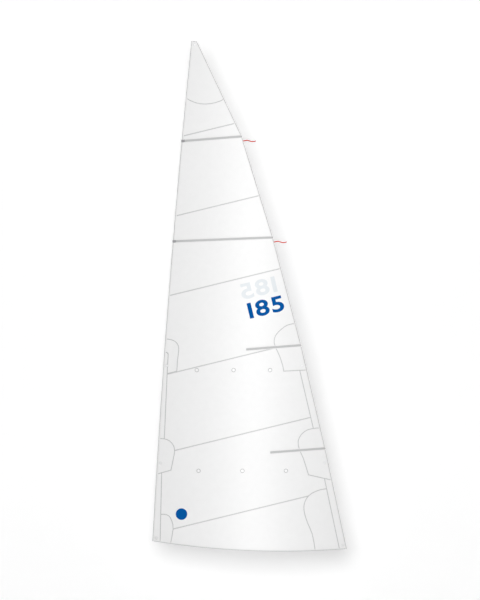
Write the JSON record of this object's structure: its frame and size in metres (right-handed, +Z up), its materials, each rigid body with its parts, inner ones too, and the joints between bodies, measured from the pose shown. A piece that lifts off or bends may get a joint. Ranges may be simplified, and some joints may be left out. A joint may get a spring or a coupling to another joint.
{
  "type": "mainsail",
  "caption": "Triangular cross-cut mainsail with patched corners, reef rings and reef points, sliding battens in pockets, leech telltales and a bolt rope.",
  "frame": {"origin": "the tack corner, where the front of the luff tape meets the foot", "axes": "+X aft towards the clew, +Y to starboard, +Z up"},
  "size_m": [3.501, 0.3337, 9.1913],
  "materials": {
    "sailcloth": "woven polyester sailcloth",
    "patch_cloth": "heavier woven polyester sailcloth",
    "tape_cloth": "folded polyester tape",
    "pocket_cloth": "grey woven polyester",
    "bolt_rope": "braided rope",
    "leech_cord": "thin braided cord",
    "batten_glassfibre": "pultruded glassfibre",
    "grey_nylon": "moulded nylon",
    "stainless_steel": "pressed stainless steel",
    "red_ribbon": "spinnaker cloth ribbon"
  },
  "bodies": {
    "sail": {"batten_luff_end_1": "grey_nylon", "batten_luff_end_2": "grey_nylon", "batten_pocket_1": "pocket_cloth", "batten_pocket_2": "pocket_cloth", "batten_pocket_3": "pocket_cloth", "batten_pocket_4": "pocket_cloth", "bolt_rope": "bolt_rope", "clew_patch_port": "patch_cloth", "clew_patch_starboard": "patch_cloth", "clew_ring": "stainless_steel", "cloth_panel_1": "sailcloth", "cloth_panel_2": "sailcloth", "cloth_panel_3": "sailcloth", "cloth_panel_4": "sailcloth", "cloth_panel_5": "sailcloth", "cloth_panel_6": "sailcloth", "cloth_panel_7": "sailcloth", "foot_tape": "tape_cloth", "head_patch_port": "patch_cloth", "head_patch_starboard": "patch_cloth", "head_ring": "stainless_steel", "head_tape": "tape_cloth", "leech_band": "patch_cloth", "leech_line": "leech_cord", "leech_tape": "tape_cloth", "luff_band": "patch_cloth", "luff_tape": "tape_cloth", "reef_1_clew_patch_port": "patch_cloth", "reef_1_clew_patch_starboard": "patch_cloth", "reef_1_clew_ring": "stainless_steel", "reef_1_tack_patch_port": "patch_cloth", "reef_1_tack_patch_starboard": "patch_cloth", "reef_1_tack_ring": "stainless_steel", "reef_2_clew_patch_port": "patch_cloth", "reef_2_clew_patch_starboard": "patch_cloth", "reef_2_clew_ring": "stainless_steel", "reef_2_tack_patch_port": "patch_cloth", "reef_2_tack_patch_starboard": "patch_cloth", "reef_2_tack_ring": "stainless_steel", "reef_point_eyelet_1_1": "stainless_steel", "reef_point_eyelet_1_2": "stainless_steel", "reef_point_eyelet_1_3": "stainless_steel", "reef_point_eyelet_2_1": "stainless_steel", "reef_point_eyelet_2_2": "stainless_steel", "reef_point_eyelet_2_3": "stainless_steel", "reef_point_patch_1_1": "patch_cloth", "reef_point_patch_1_2": "patch_cloth", "reef_point_patch_1_3": "patch_cloth", "reef_point_patch_2_1": "patch_cloth", "reef_point_patch_2_2": "patch_cloth", "reef_point_patch_2_3": "patch_cloth", "tack_patch_port": "patch_cloth", "tack_patch_starboard": "patch_cloth", "tack_ring": "stainless_steel"},
    "batten_1": {"batten_1": "batten_glassfibre"},
    "batten_2": {"batten_2": "batten_glassfibre"},
    "batten_3": {"batten_3": "batten_glassfibre"},
    "batten_4": {"batten_4": "batten_glassfibre"},
    "telltale_upper": {"telltale_upper": "red_ribbon"},
    "telltale_lower": {"telltale_lower": "red_ribbon"}
  },
  "joints": [
    {"name": "batten_1_slide", "type": "hinge", "parent": "sail", "child": "batten_1", "pos_m": [1.74129, 4.89418, 7.29625], "axis": [-0.0785, 0, 0.9969], "range_deg": [0, 12.24]},
    {"name": "batten_2_slide", "type": "hinge", "parent": "sail", "child": "batten_2", "pos_m": [1.74593, 4.83232, 5.45102], "axis": [-0.0401, 0, 0.9992], "range_deg": [0, 20.45]},
    {"name": "batten_3_slide", "type": "hinge", "parent": "sail", "child": "batten_3", "pos_m": [1.74168, 4.81088, 3.45598], "axis": [-0.0767, 0, 0.9971], "range_deg": [0, 11.31]},
    {"name": "batten_4_slide", "type": "hinge", "parent": "sail", "child": "batten_4", "pos_m": [1.74163, 4.76854, 1.56776], "axis": [-0.0758, 0, 0.9971], "range_deg": [0, 11.3]},
    {"name": "telltale_upper_swing", "type": "hinge", "parent": "sail", "child": "telltale_upper", "pos_m": [1.63646, -0.15008, 7.205], "axis": [-0.2933, 0.0308, 0.9555], "range_deg": [-90, 90]},
    {"name": "telltale_lower_swing", "type": "hinge", "parent": "sail", "child": "telltale_lower", "pos_m": [2.19085, -0.17332, 5.387], "axis": [-0.2538, 0.0019, 0.9673], "range_deg": [-90, 90]}
  ]
}
